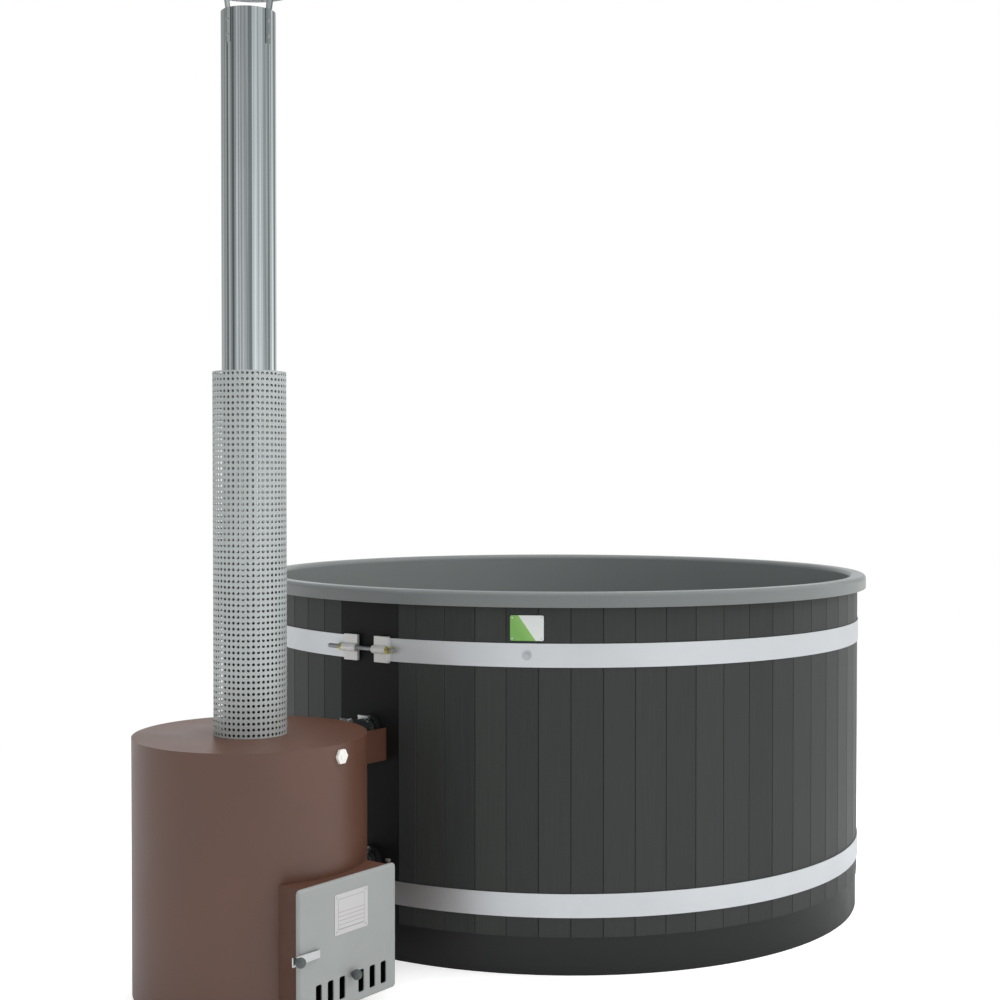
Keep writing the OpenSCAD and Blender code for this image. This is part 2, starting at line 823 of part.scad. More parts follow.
module stove_jacket() {
    height = jacket_top_z - foot_height;
    hole_w = tunnel_width + 2 * fit_gap;
    hole_h = tunnel_height + 2 * fit_gap;
    color("#6a554b") difference() {
        at_stove(0, 0, foot_height) cylinder(r = jacket_radius, h = height, $fn = wide_fn);
        at_stove(0, 0, foot_height + jacket_wall)
            cylinder(r = jacket_radius - jacket_wall, h = height - 2 * jacket_wall, $fn = wide_fn);
        at_stove(-hole_w / 2, jacket_radius + overrun, tunnel_base - fit_gap)
            cube([hole_w, jacket_radius, hole_h]);
        at_stove(0, 0, jacket_top_z - jacket_wall - overrun)
            cylinder(r = neck_radius + fit_gap, h = jacket_wall + 2 * overrun);
        for (z = [upper_pipe_z, lower_pipe_z])
            along_x(stove_x, 0, z) cylinder(r = pipe_radius + fit_gap, h = jacket_radius + overrun);
        at_stove(0, 0, jacket_top_z - plug_drop) rotate([0, 0, plug_turn]) rotate([90, 0, 0])
            cylinder(r = plug_shank_radius + fit_gap, h = jacket_radius + overrun);
    }
}

module stove_feet() {
    color("#4b4340") for (k = [0:foot_count - 1]) at_stove(0, 0, 0)
        rotate([0, 0, (k + 0.5) * 360 / foot_count]) translate([foot_ring, 0, 0]) {
            cylinder(r = foot_pad_radius, h = foot_pad_height);
            cylinder(r = foot_radius, h = foot_height);
        }
}

// Firebox: a drum inside the water, open to the tunnel, with a neck up through the jacket's top
module firebox() {
    base = firebox_floor - firebox_wall;
    crown = jacket_top_z - crown_drop;
    inner_w = tunnel_width - 2 * tunnel_sheet;
    color("#3d3a38") at_stove(0, 0, 0) difference() {
        union() {
            translate([0, 0, base]) cylinder(r = firebox_radius, h = crown - base, $fn = wide_fn);
            cylinder_between(neck_radius, crown, jacket_top_z + neck_rise);
        }
        translate([0, 0, firebox_floor])
            cylinder(r = firebox_radius - firebox_wall, h = crown - firebox_wall - firebox_floor,
                     $fn = wide_fn);
        cylinder_between(neck_radius - neck_wall, crown - firebox_wall - overrun,
                         jacket_top_z + neck_rise + overrun);
        translate([-inner_w / 2, -firebox_radius - overrun, firebox_floor])
            cube([inner_w, firebox_radius, tunnel_height - 2 * tunnel_sheet]);
    }
}

module fire_grate() {
    pitch = 2 * grate_radius / (grate_slots + 1);
    top = firebox_floor + grate_rise;
    color("#2e2e2f") at_stove(0, 0, 0) {
        difference() {
            translate([0, 0, top - grate_thickness]) cylinder(r = grate_radius, h = grate_thickness);
            for (i = [1:grate_slots])
                let (x = i * pitch - grate_radius,
                     reach = sqrt(grate_radius * grate_radius - x * x) - pitch)
                translate([x - pitch * grate_slot_share / 2, -reach, top - grate_thickness - overrun])
                    cube([pitch * grate_slot_share, 2 * reach, grate_thickness + 2 * overrun]);
        }
        for (k = [0:foot_count - 1]) rotate([0, 0, (k + 0.5) * 360 / foot_count])
            translate([grate_radius - grate_leg_radius, 0, firebox_floor])
                cylinder(r = grate_leg_radius * grate_leg_ring_share, h = grate_rise - grate_thickness);
    }
}

module door_frame() {
    inner_w = tunnel_width - 2 * tunnel_sheet;
    inner_h = tunnel_height - 2 * tunnel_sheet;
    color("#5f4b42") difference() {
        at_stove(-tunnel_width / 2, tunnel_front, tunnel_base)
            cube([tunnel_width, tunnel_front, tunnel_height]);
        at_stove(-inner_w / 2, tunnel_front + overrun, firebox_floor)
            cube([inner_w, tunnel_front + 2 * overrun, inner_h]);
        at_stove(0, 0, 0) cylinder(r = firebox_radius + fit_gap, h = jacket_top_z, $fn = wide_fn);
    }
}

// Block on the tunnel's inner side, which the lever's tongue rests on
module latch_keeper() {
    top = lever_z - tongue_height / 2 - fit_gap;
    place = tunnel_sheet - tunnel_width / 2;
    color("#5f4b42") at_stove(place, tongue_front + keeper_lap, top - keeper_height)
        cube([keeper_reach, keeper_depth, keeper_height]);
}

function hinge_z(share) = door_base_z + share * door_height;

module frame_hinges() {
    color("#5f4b42") for (share = hinge_heights_share)
        translate([0, 0, hinge_z(share) - knuckle_height]) difference() {
            union() {
                at_stove(hinge_across, hinge_front, 0) cylinder(r = knuckle_radius, h = knuckle_height);
                at_stove(tunnel_width / 2, hinge_front + hinge_leaf / 2, 0)
                    cube([hinge_across - tunnel_width / 2, hinge_leaf, knuckle_height]);
                at_stove(tunnel_width / 2, hinge_front + hinge_leaf / 2, 0)
                    cube([hinge_leaf - hinge_side_gap, hinge_leaf_depth, knuckle_height]);
            }
            at_stove(hinge_across, hinge_front, -overrun)
                cylinder(r = pin_radius + running_gap, h = knuckle_height + 2 * overrun);
        }
}

// One rod through all the knuckles, with a head above the door's top
module hinge_rod() {
    low = hinge_z(hinge_heights_share[0]) - knuckle_height - hinge_side_gap;
    top = door_base_z + door_height + hinge_side_gap;
    color("#8c8f91") {
        at_stove(hinge_across, hinge_front, low) cylinder(r = pin_radius, h = top - low);
        at_stove(hinge_across, hinge_front, top) cylinder(r = rod_head_radius, h = rod_head_height);
    }
}

module filler_plug() {
    color("#d9d6cf") at_stove(0, 0, jacket_top_z - plug_drop) rotate([0, 0, plug_turn])
        translate([0, -jacket_radius - fit_gap, 0]) rotate([90, 0, 0]) {
            cylinder(r = plug_flat / 2 / cos(30), h = plug_height, $fn = 6);
            cylinder(r = plug_boss_radius, h = plug_height + plug_boss_height);
            translate([0, 0, -jacket_wall - overrun])
                cylinder(r = plug_shank_radius, h = jacket_wall + overrun);
        }
}

module flue_pipe() {
    color("#a3aaae") at_stove(0, 0, jacket_top_z)
        tube(flue_radius, flue_radius - flue_wall, flue_top_z - jacket_top_z);
}

// Perforated sheet rolled round the flue: rows of holes in a square grid
module flue_guard() {
    rows = floor((guard_height - 2 * guard_margin) / guard_pitch);
    first = (guard_height - (rows - 1) * guard_pitch) / 2;
    color("#bcc0c2") at_stove(0, 0, jacket_top_z) difference() {
        tube(guard_radius, guard_radius - guard_wall, guard_height, $fn = 120);
        for (row = [0:rows - 1], column = [0:guard_columns - 1])
            rotate([0, 0, column * 360 / guard_columns])
                translate([guard_radius - guard_wall - overrun, 0, first + row * guard_pitch])
                    rotate([0, 90, 0])
                        cylinder(r = guard_hole_radius, h = guard_wall + 2 * overrun, $fn = 16);
    }
}

module guard_spacers() {
    inner = flue_radius + fit_gap;
    color("#9aa0a3") for (k = [0:spacer_count - 1])
        at_stove(0, 0, jacket_top_z + guard_height - spacer_drop)
            rotate([0, 0, (k + 0.5) * 360 / spacer_count])
            translate([inner, 0, 0]) rotate([0, 90, 0])
                cylinder(r = spacer_radius, h = guard_radius - guard_wall - fit_gap - inner);
}

// Height of a cone that lies a square distance below the cap's upper face
function below_cap_z(r, distance) =
    cap_rim_z + cap_edge + (cap_radius - r) * cap_slope - distance / cos(atan(cap_slope));

module rain_cap() {
    inner = cap_radius - cap_sheet;
    color("#b4babd") at_stove(0, 0, 0) rotate_extrude($fn = 96)
        polygon([[0, below_cap_z(0, 0)], [0, below_cap_z(0, cap_sheet)],
                 [inner, below_cap_z(inner, cap_sheet)], [inner, cap_rim_z],
                 [cap_radius, cap_rim_z], [cap_radius, cap_rim_z + cap_edge]]);
}

// Brackets: strips riveted to the flue, leaning out to tabs under the cap
module cap_brackets() {
    inner = flue_radius + fit_gap;
    tab = bracket_top_radius + bracket_tab;
    path = [[inner, flue_top_z - bracket_lap], [inner, flue_top_z],
            [bracket_top_radius, below_cap_z(bracket_top_radius, cap_sheet + fit_gap)],
            [tab, below_cap_z(tab, cap_sheet + fit_gap)]];
    color("#8d9294") for (k = [0:bracket_count - 1])
        at_stove(0, 0, 0) rotate([0, 0, k * 360 / bracket_count]) translate([0, bracket_width / 2, 0])
            rotate([90, 0, 0]) linear_extrude(bracket_width)
                polygon(sheet_outline(path, [0, 0, 0, 0], -bracket_sheet));
}

module cap_rivets() {
    color("#c9ccce") for (k = [0:bracket_count - 1], drop = cap_rivet_drops)
        at_stove(0, 0, flue_top_z - drop) rotate([0, 0, k * 360 / bracket_count])
            translate([flue_radius + fit_gap + bracket_sheet, 0, 0]) rotate([0, 90, 0])
                cylinder(r = cap_rivet_radius, h = cap_rivet_height, $fn = 24);
}

// Centres of the air slots across the door, in two groups of three
function slot_places() =
    [for (side = [-1, 1], k = [0:2]) slot_centre + side * (slot_group_gap / 2 + k * slot_pitch)];

module door_outline(inset) {
    translate([0, tunnel_centre_z])
        rounded_rect(door_width - 2 * inset, door_height - 2 * inset, door_round - inset);
}

module air_slots() {
    for (x = slot_places()) translate([x, slot_z]) rounded_rect(slot_width, slot_height, slot_round);
}

module door_pan() {
    slot_end = stem_radius + stem_gap;
    color("#9fa3a4") {
        upright_sheet(skin_back, door_front) difference() {
            door_outline(0);
            air_slots();
            translate([damper_rest, stem_z]) circle(r = slot_end);
            translate([damper_rest + damper_travel, stem_z]) circle(r = slot_end);
            translate([damper_rest, stem_z - slot_end]) square([damper_travel, 2 * slot_end]);
            translate([lever_pivot_across, lever_z]) circle(r = pivot_radius + running_gap);
        }
        upright_sheet(door_back, skin_back) difference() {
            door_outline(0);
            door_outline(door_sheet);
        }
    }
}

module door_hinges() {
    inner = door_width / 2 - door_sheet - fit_gap;
    color("#8f9394") for (share = hinge_heights_share)
        translate([0, 0, hinge_z(share) + fit_gap]) difference() {
            union() {
                at_stove(hinge_across, hinge_front, 0) cylinder(r = knuckle_radius, h = knuckle_height);
                at_stove(hinge_across, skin_back, 0)
                    cube([inner - hinge_across, skin_back - hinge_front, knuckle_height]);
            }
            at_stove(hinge_across, hinge_front, -overrun)
                cylinder(r = pin_radius + running_gap, h = knuckle_height + 2 * overrun);
        }
}

// Heat shield inside the door, on four studs
baffle_z = tunnel_base + tunnel_height - tunnel_sheet - baffle_top_drop - baffle_height / 2;

module door_baffle() {
    color("#5a5654") upright_sheet(skin_back - baffle_stand - baffle_sheet, skin_back - baffle_stand)
        translate([0, baffle_z]) square([baffle_width, baffle_height], center = true);
}

module baffle_studs() {
    across = baffle_width / 2 - baffle_stud_inset;
    up = baffle_height / 2 - baffle_stud_inset;
    color("#7c7f80") upright_sheet(skin_back - baffle_stand, skin_back)
        for (x = [-across, across], y = [-up, up])
            translate([x, baffle_z + y]) circle(r = baffle_stud_radius);
}

// The slide covers every slot when it is shut, and its own slots match them when it is open
damper_left = slot_places()[2] - slot_width / 2 - damper_travel - damper_lap;
damper_right = slot_places()[5] + slot_width / 2 + damper_lap;
damper_half_height = slot_height / 2 + damper_lap;

module damper_slide() {
    color("#8b8f90") upright_sheet(skin_back - fit_gap - damper_sheet, skin_back - fit_gap) difference() {
        translate([damper_left, slot_z - damper_half_height])
            square([damper_right - damper_left, 2 * damper_half_height]);
        air_slots();
    }
}

module damper_stem() {
    color("#7c7f80") upright_sheet(skin_back - fit_gap, door_front + knob_stand)
        translate([damper_rest, stem_z]) circle(r = stem_radius);
}

// Ball on a short collar, whose flat end is at the given distance to the front
module knob(front) {
    at_stove(0, front, 0) rotate([90, 0, 0]) {
        translate([0, 0, knob_seat + knob_radius]) sphere(r = knob_radius);
        cylinder(r = knob_collar, h = knob_seat + knob_radius);
    }
}

module damper_knob() {
    color("#4e5355") translate([damper_rest, 0, stem_z]) knob(door_front + knob_stand);
}

// Rails above and below the slide: a strip on the door's skin with a lip behind the slide's edge
module damper_guides() {
    rail_back = skin_back - damper_sheet - 2 * fit_gap;
    left = damper_left - fit_gap;
    length = damper_right - damper_left + damper_travel + 2 * fit_gap;
    color("#7c7f80") for (side = [-1, 1]) {
        edge = slot_z + side * (damper_half_height + fit_gap);
        outer = side > 0 ? edge : edge - guide_height;
        lip = side > 0 ? edge - guide_lap : edge - guide_height;
        upright_sheet(rail_back, skin_back)
            translate([left, outer]) square([length, guide_height]);
        upright_sheet(rail_back - guide_lip, rail_back)
            translate([left, lip]) square([length, guide_height + guide_lap]);
    }
}

module rating_plate() {
    color("#c9cccd") upright_sheet(door_front, door_front + plate_sheet)
        translate([plate_centre, plate_z]) rounded_rect(plate_width, plate_height, plate_round);
}

module plate_rivets() {
    across = plate_width / 2 - plate_rivet_inset;
    up = plate_height / 2 - plate_rivet_inset;
    color("#e0e2e3") upright_sheet(door_front + plate_sheet, door_front + plate_sheet + plate_rivet_height)
        for (x = [-across, across], y = [-up, up])
            translate([plate_centre + x, plate_z + y]) circle(r = plate_rivet_radius, $fn = 24);
}

// The lever tapers from its tip at the left to its tail past the pivot
lever_back = door_front + lever_stand;
lever_front = lever_back + lever_sheet;
lever_tip = lever_pivot_across - lever_length;

module latch_lever() {
    tail = lever_pivot_across + lever_tail;
    color("#cfd1d2") upright_sheet(lever_back, lever_front)
        polygon([[lever_tip, lever_z - lever_tip_height / 2], [tail, lever_z - lever_tail_height / 2],
                 [tail, lever_z + lever_tail_height / 2], [lever_tip, lever_z + lever_tip_height / 2]]);
}

// Stud behind the lever: a boss on the lever, a shank through the door's skin, a nut behind it
module lever_pivot() {
    color("#8c8f91") {
        upright_sheet(door_front + fit_gap, lever_back)
            translate([lever_pivot_across, lever_z]) circle(r = pivot_boss_radius);
        upright_sheet(tongue_front, lever_back)
            translate([lever_pivot_across, lever_z]) circle(r = pivot_radius);
        upright_sheet(skin_back - pivot_nut_thickness, skin_back - fit_gap)
            translate([lever_pivot_across, lever_z]) circle(r = pivot_boss_radius, $fn = 6);
    }
}

// Tongue on the inner end of the stud, which turns with the lever
module latch_tongue() {
    tip = tunnel_sheet + tongue_side_gap - tunnel_width / 2;
    color("#8c8f91") upright_sheet(tongue_front - tongue_sheet, tongue_front)
        translate([tip, lever_z - tongue_height / 2])
            square([lever_pivot_across + tongue_tail - tip, tongue_height]);
}

module lever_knob() {
    color("#4e5355") translate([lever_tip + lever_knob_inset, 0, lever_z]) knob(lever_front);
}

liner_wall_section();
liner_bench();
liner_footwell();
liner_floor();
base_skirt();
floor_joists();
lower_hoop();
bench_hoop();
cladding_boards();
pipe_panel();
upper_strap();
lower_strap();
strap_lugs();
tension_rods();
rod_nuts();
strap_screw();
badge_plate();
badge_rivets();
drain_fitting();
drain_locknut();
drain_pipe();
drain_plug();
upper_wall_fitting();
lower_wall_pipe();
fitting_locknuts();
strainer_grilles();
stove_stubs();
upper_hose();
lower_hose();
hose_clamps();
hose_trough();
stove_jacket();
stove_feet();
firebox();
fire_grate();
door_frame();
latch_keeper();
frame_hinges();
hinge_rod();
filler_plug();
flue_pipe();
flue_guard();
guard_spacers();
rain_cap();
cap_brackets();
cap_rivets();
door_pan();
door_hinges();
door_baffle();
baffle_studs();
damper_guides();
rating_plate();
plate_rivets();
latch_lever();
lever_pivot();
latch_tongue();
lever_knob();
damper_slide();
damper_stem();
damper_knob();
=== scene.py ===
import json
import math

import bpy
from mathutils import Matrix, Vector
from mathutils.geometry import tessellate_polygon


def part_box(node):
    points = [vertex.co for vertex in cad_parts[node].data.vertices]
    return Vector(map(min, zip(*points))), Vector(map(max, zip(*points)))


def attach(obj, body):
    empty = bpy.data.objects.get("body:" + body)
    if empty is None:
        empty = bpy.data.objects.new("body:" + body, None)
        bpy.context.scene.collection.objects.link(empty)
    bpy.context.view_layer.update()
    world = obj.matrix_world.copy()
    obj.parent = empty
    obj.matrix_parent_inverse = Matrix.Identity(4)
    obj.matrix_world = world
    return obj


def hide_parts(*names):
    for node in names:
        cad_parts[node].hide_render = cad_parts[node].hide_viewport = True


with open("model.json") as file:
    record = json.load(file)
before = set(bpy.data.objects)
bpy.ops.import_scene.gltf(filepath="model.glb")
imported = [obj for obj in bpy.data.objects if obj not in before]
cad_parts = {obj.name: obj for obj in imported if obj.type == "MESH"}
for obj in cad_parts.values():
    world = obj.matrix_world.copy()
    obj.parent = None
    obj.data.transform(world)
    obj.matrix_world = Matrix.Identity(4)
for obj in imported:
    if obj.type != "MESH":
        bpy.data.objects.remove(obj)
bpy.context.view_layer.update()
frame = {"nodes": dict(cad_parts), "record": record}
nodes = frame["nodes"]
scene = bpy.context.scene

# Places and sizes from the frame, in metres
jacket_low, jacket_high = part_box("stove_jacket")
stove_x = (jacket_low.x + jacket_high.x) / 2
tub_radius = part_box("cladding_boards")[1].x
flue_low, flue_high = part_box("flue_pipe")
flue_radius = (flue_high.x - flue_low.x) / 2

# Most values of a noise lie between these two
noise_low, noise_high = 0.3, 0.7


# Calls for shader nodes

class Nodes:
    """A node tree, with short calls for the nodes that the finishes, the floor and the world share."""

    def __init__(self, tree):
        self.tree = tree

    def new(self, kind):
        return self.tree.nodes.new("ShaderNode" + kind)

    def link(self, source, socket):
        self.tree.links.new(source, socket)

    def put(self, value, socket):
        if isinstance(value, bpy.types.NodeSocket):
            self.link(value, socket)
        else:
            socket.default_value = value

    def math(self, kind, a, b=0.0):
        node = self.new("Math")
        node.operation = kind
        self.put(a, node.inputs[0])
        self.put(b, node.inputs[1])
        return node.outputs[0]

    def split(self, vector):
        node = self.new("SeparateXYZ")
        self.link(vector, node.inputs[0])
        return node.outputs

    def join(self, x, y, z):
        node = self.new("CombineXYZ")
        for value, socket in zip((x, y, z), node.inputs):
            self.put(value, socket)
        return node.outputs[0]

    def scaled(self, vector, scales):
        node = self.new("VectorMath")
        node.operation = "MULTIPLY"
        self.link(vector, node.inputs[0])
        node.inputs[1].default_value = scales
        return node.outputs[0]

    def dot(self, vector, direction):
        node = self.new("VectorMath")
        node.operation = "DOT_PRODUCT"
        self.link(vector, node.inputs[0])
        node.inputs[1].default_value = direction
        return node.outputs["Value"]

    def white(self, value):
        """A random number from 0 to 1, the same wherever the value is the same."""
        node = self.new("TexWhiteNoise")
        node.noise_dimensions = "1D"
        self.link(value, node.inputs["W"])
        return node.outputs["Value"]

    def line_noise(self, value, scale, detail):
        """Noise that changes along one number only."""
        node = self.new("TexNoise")
        node.noise_dimensions = "1D"
        self.link(value, node.inputs["W"])
        node.inputs["Scale"].default_value = scale
        node.inputs["Detail"].default_value = detail
        return node.outputs["Fac"]

    def spread(self, value, low, high, from_low=0.0, from_high=1.0):
        """Map a value from one range to another, and keep it inside."""
        node = self.new("MapRange")
        self.link(value, node.inputs["Value"])
        node.inputs["From Min"].default_value = from_low
        node.inputs["From Max"].default_value = from_high
        node.inputs["To Min"].default_value = low
        node.inputs["To Max"].default_value = high
        return node.outputs["Result"]

    def vary(self, noise, low, high, from_low=noise_low, from_high=noise_high):
        """Map a noise so that it fills the range from low to high."""
        return self.spread(noise, low, high, from_low, from_high)

    def ramp(self, value, *stops):
        node = self.new("ValToRGB")
        self.link(value, node.inputs["Fac"])
        line = node.color_ramp
        while len(line.elements) < len(stops):
            line.elements.new(0.5)
        for element, (position, colour) in zip(line.elements, stops):
            element.position = position
            element.color = (*colour, 1)
        return node.outputs["Color"]

    def mix(self, share, a, b):
        node = self.new("Mix")
        node.data_type = "RGBA"
        self.put(share, node.inputs["Factor"])
        for value, socket in ((a, node.inputs["A"]), (b, node.inputs["B"])):
            self.put(value if isinstance(value, bpy.types.NodeSocket) else (*value, 1), socket)
        return node.outputs["Result"]

    def stain(self, tone, colour, noise, most, from_low=noise_low, from_high=noise_high):
        """Mix a colour into the tone where the noise is high, up to the share most."""
        return self.mix(self.vary(noise, 0.0, most, from_low, from_high), tone, colour)

    def light(self, kind, strength=1.0):
        """White emission or background."""
        node = self.new(kind)
        node.inputs["Color"].default_value = (1, 1, 1, 1)
        self.put(strength, node.inputs["Strength"])
        return node

    def blend(self, share, a, b):
        node = self.new("MixShader")
        self.link(share, node.inputs["Fac"])
        self.link(a, node.inputs[1])
        self.link(b, node.inputs[2])
        return node.outputs[0]


class Shader(Nodes):
    """A material with its Principled surface and the object's own coordinates."""

    def __init__(self, name):
        self.material = bpy.data.materials.new(name)
        self.material.use_nodes = True
        super().__init__(self.material.node_tree)
        self.surface = self.tree.nodes["Principled BSDF"]
        self.place = self.new("TexCoord").outputs["Object"]

    def noise(self, scale, vector=None, detail=3.0, rough=0.5):
        node = self.new("TexNoise")
        self.link(vector or self.place, node.inputs["Vector"])
        node.inputs["Scale"].default_value = scale
        node.inputs["Detail"].default_value = detail
        node.inputs["Roughness"].default_value = rough
        return node.outputs["Fac"]

    def stretched(self, scales, detail=4.0, rough=0.6):
        """Noise with its own scale along X, Y and Z: a small one draws it out into lines."""
        return self.noise(1.0, self.scaled(self.place, scales), detail, rough)

    def streaks(self, across, height, scales, seed=0.0, detail=4.0, rough=0.6):
        """Noise on a round wall: scales are those across and up."""
        flat = self.join(self.math("MULTIPLY", across, scales[0]), seed,
                         self.math("MULTIPLY", height, scales[1]))
        return self.noise(1.0, flat, detail, rough)

    def around(self, radius, centre_x=0.0):
        """Distance in metres round a vertical axis, height, and the turn round the axis."""
        x, y, z = self.split(self.place)
        turn = self.math("ARCTAN2", y, self.math("SUBTRACT", x, centre_x))
        return self.math("MULTIPLY", turn, radius), z, turn

    def bump(self, height, strength, distance, normal=None):
        node = self.new("Bump")
        self.link(height, node.inputs["Height"])
        node.inputs["Strength"].default_value = strength
        node.inputs["Distance"].default_value = distance
        if normal is not None:
            self.link(normal, node.inputs["Normal"])
        return node.outputs["Normal"]

    def finish(self, colour, rough, normal=None, metal=0.0, gloss=0.5):
        self.link(colour, self.surface.inputs["Base Color"])
        self.put(rough, self.surface.inputs["Roughness"])
        self.surface.inputs["Metallic"].default_value = metal
        self.surface.inputs["Specular IOR Level"].default_value = gloss
        if normal is not None:
            self.link(normal, self.surface.inputs["Normal"])
        return self.material


def srgb(red, green, blue):
    """Linear colour from levels of 0 to 255."""
    def linear(level):
        share = level / 255
        return ((share + 0.055) / 1.055) ** 2.4 if level > 10 else share / 12.92
    return tuple(linear(level) for level in (red, green, blue))


def shaded(colour, factor):
    return tuple(min(1, level * factor) for level in colour)


# Finishes that several slots share

def painted(name, colour, rough, grain=900.0, depth=0.25, mottle=0.12, gloss=0.5):
    """Paint or moulded plastic: a cloudy tone over a fine orange peel."""
    look = Shader(name)
    cloud = look.noise(7.0, detail=4.0)
    peel = look.noise(grain, detail=2.0)
    tone = look.ramp(cloud, (0.35, shaded(colour, 1 - mottle)), (0.65, shaded(colour, 1 + mottle)))
    roughness = look.vary(cloud, rough - 0.05, rough + 0.05)
    normal = look.bump(peel, strength=depth, distance=0.0006)
    return look.finish(tone, roughness, normal, gloss=gloss)


def brushed(name, colour, rough, scales=None, metal=1.0, depth=0.15):
    """Steel with fine lines: scales are those of the lines in X, Y and Z, or none for lines round the tub."""
    look = Shader(name)
    if scales:
        lines = look.stretched(scales)
    else:
        across, height, _ = look.around(tub_radius)
        lines = look.streaks(across, height, (6.0, 1800.0))
    cloud = look.noise(5.0)
    tone = look.stain(shaded(colour, 0.94), colour, lines, 1.0)
    tone = look.stain(tone, shaded(colour, 0.84), cloud, 0.2, from_low=0.35)
    roughness = look.math("ADD", look.vary(lines, rough - 0.05, rough + 0.06), look.vary(cloud, -0.03, 0.05))
    normal = look.bump(lines, strength=depth, distance=0.0003)
    return look.finish(tone, roughness, normal, metal)


def cast(name, colour, rough):
    """Cast or burnt iron: pitted, with soot in clouds."""
    look = Shader(name)
    pits = look.noise(420.0, detail=4.0)
    soot = look.noise(14.0, detail=5.0)
    tone = look.ramp(soot, (0.35, shaded(colour, 0.45)), (0.7, colour))
    normal = look.bump(pits, strength=0.5, distance=0.001)
    return look.finish(tone, look.vary(soot, rough - 0.1, rough + 0.1), normal, 0.4)


# Finishes with a function of their own

def boards():
    """Graphite stain: the grain runs up each board, and each board has its own tone."""
    look = Shader("board_graphite")
    across, height, turn = look.around(tub_radius)
    boards_radius = 0.914
    panel_width = 0.203
    whole_boards, first_share, last_share = 64, 0.66, 0.9
    panel_turn = 2 * math.asin(panel_width / 2 / boards_radius)
    pitch = (2 * math.pi - panel_turn) / (whole_boards + first_share + last_share)
    first_joint = math.pi + panel_turn / 2 + first_share * pitch
    # Two whole turns are added, so that the board's number stays above 0
    past_joint = look.math("ADD", turn, 4 * math.pi - first_joint)
    board = look.math("FLOOR", look.math("DIVIDE", past_joint, pitch))
    # Each board draws its shade, its hue and the place in the noise that its grain comes from
    second_draw = 71.3
    far_apart = 37.0
    shade = look.white(board)
    hue = look.white(look.math("ADD", board, second_draw))
    seed = look.math("MULTIPLY", shade, far_apart)
    grain = look.streaks(across, height, (260.0, 7.0), seed, detail=5.0)
    fine = look.streaks(across, height, (1500.0, 60.0), seed, detail=3.0)
    tone = look.ramp(grain, (noise_low, srgb(48, 51, 49)), (noise_high, srgb(56, 59, 57)))
    tone = look.mix(look.spread(shade, 0.0, 0.4), tone, srgb(68, 71, 67))
    tone = look.mix(look.spread(hue, 0.0, 0.25), tone, srgb(50, 53, 54))
    relief = look.math("ADD", grain, look.math("MULTIPLY", fine, 0.6))
    normal = look.bump(relief, strength=0.16, distance=0.0005)
    return look.finish(tone, look.vary(fine, 0.44, 0.52), normal, gloss=0.25)


def liner():
    """Moulded grey plastic with a fine speck."""
    look = Shader("liner_grey")
    speck = look.noise(1400.0, detail=2.0)
    cloud = look.noise(3.0)
    tone = look.ramp(speck, (noise_low, srgb(112, 116, 115)), (noise_high, srgb(130, 134, 133)))
    tone = look.stain(tone, srgb(104, 108, 108), cloud, 0.2)
    normal = look.bump(speck, strength=0.12, distance=0.0004)
    return look.finish(tone, look.vary(cloud, 0.3, 0.4), normal)


def rubber():
    """Black hose rubber with a little dust."""
    look = Shader("rubber_black")
    colour = srgb(26, 27, 28)
    grain = look.noise(1800.0, detail=2.0)
    dust = look.noise(22.0, detail=5.0)
    dusty = tuple(level * 1.7 + 0.004 for level in colour)
    tone = look.ramp(dust, (0.4, colour), (0.75, dusty))
    normal = look.bump(grain, strength=0.3, distance=0.0004)
    return look.finish(tone, look.vary(dust, 0.55, 0.72), normal)


def timber():
    """Raw joists: rings and a finer grain along X."""
    look = Shader("raw_timber")
    rings = look.stretched((2.5, 60.0, 60.0), detail=5.0, rough=0.55)
    fine = look.stretched((12.0, 420.0, 420.0), detail=3.0)
    tone = look.ramp(rings, (0.3, srgb(146, 116, 78)), (0.5, srgb(182, 152, 108)),
                     (0.72, srgb(200, 174, 132)))
    tone = look.stain(tone, srgb(138, 108, 72), fine, 0.35, from_low=0.4)
    normal = look.bump(fine, strength=0.3, distance=0.0005)
    return look.finish(tone, 0.72, normal)


def threaded():
    """Steel rods along Y: a fine wave stands for the thread, in the bump and in the colour, where it is
    painted shade in the thread's roots and painted light on its crests.
    """
    look = Shader("rod_steel")
    thread_pitch = 0.00175
    y = look.split(look.place)[1]
    thread_relief_and_painted_shade = look.math("SINE", look.math("MULTIPLY", y, 2 * math.pi / thread_pitch))
    cloud = look.noise(60.0)
    # Painted shade and light: the colour darkens in the thread's roots and lightens on its crests
    tone = look.mix(look.spread(thread_relief_and_painted_shade, 0.0, 1.0, from_low=-1.0), srgb(124, 128, 130), srgb(208, 211, 213))
    normal = look.bump(thread_relief_and_painted_shade, strength=0.6, distance=0.0006)
    return look.finish(tone, look.vary(cloud, 0.25, 0.4), normal, metal=1.0)


def chrome():
    """Bright hose clamps with faint swirls."""
    look = Shader("clamp_chrome")
    swirl = look.noise(40.0, detail=4.0)
    fine = look.noise(900.0, detail=2.0)
    tone = look.stain(srgb(236, 238, 239), srgb(188, 191, 193), swirl, 0.3, from_low=0.35)
    normal = look.bump(fine, strength=0.08, distance=0.0002)
    return look.finish(tone, look.vary(swirl, 0.2, 0.32), normal, metal=1.0)


def stove_paint():
    """Brown powder coat with a pale speck and a fine crackle."""
    look = Shader("stove_brown")
    cloud = look.noise(4.5, detail=4.0)
    speck = look.noise(2200.0, detail=2.0)
    crackle = look.noise(260.0, detail=5.0, rough=0.7)
    tone = look.ramp(cloud, (noise_low, srgb(86, 54, 40)), (noise_high, srgb(94, 60, 45)))
    tone = look.stain(tone, srgb(108, 78, 64), speck, 0.3, from_low=0.4)
    specks = look.bump(speck, strength=0.2, distance=0.0004)
    normal = look.bump(crackle, strength=0.12, distance=0.0006, normal=specks)
    return look.finish(tone, look.vary(cloud, 0.36, 0.44), normal, gloss=0.7)


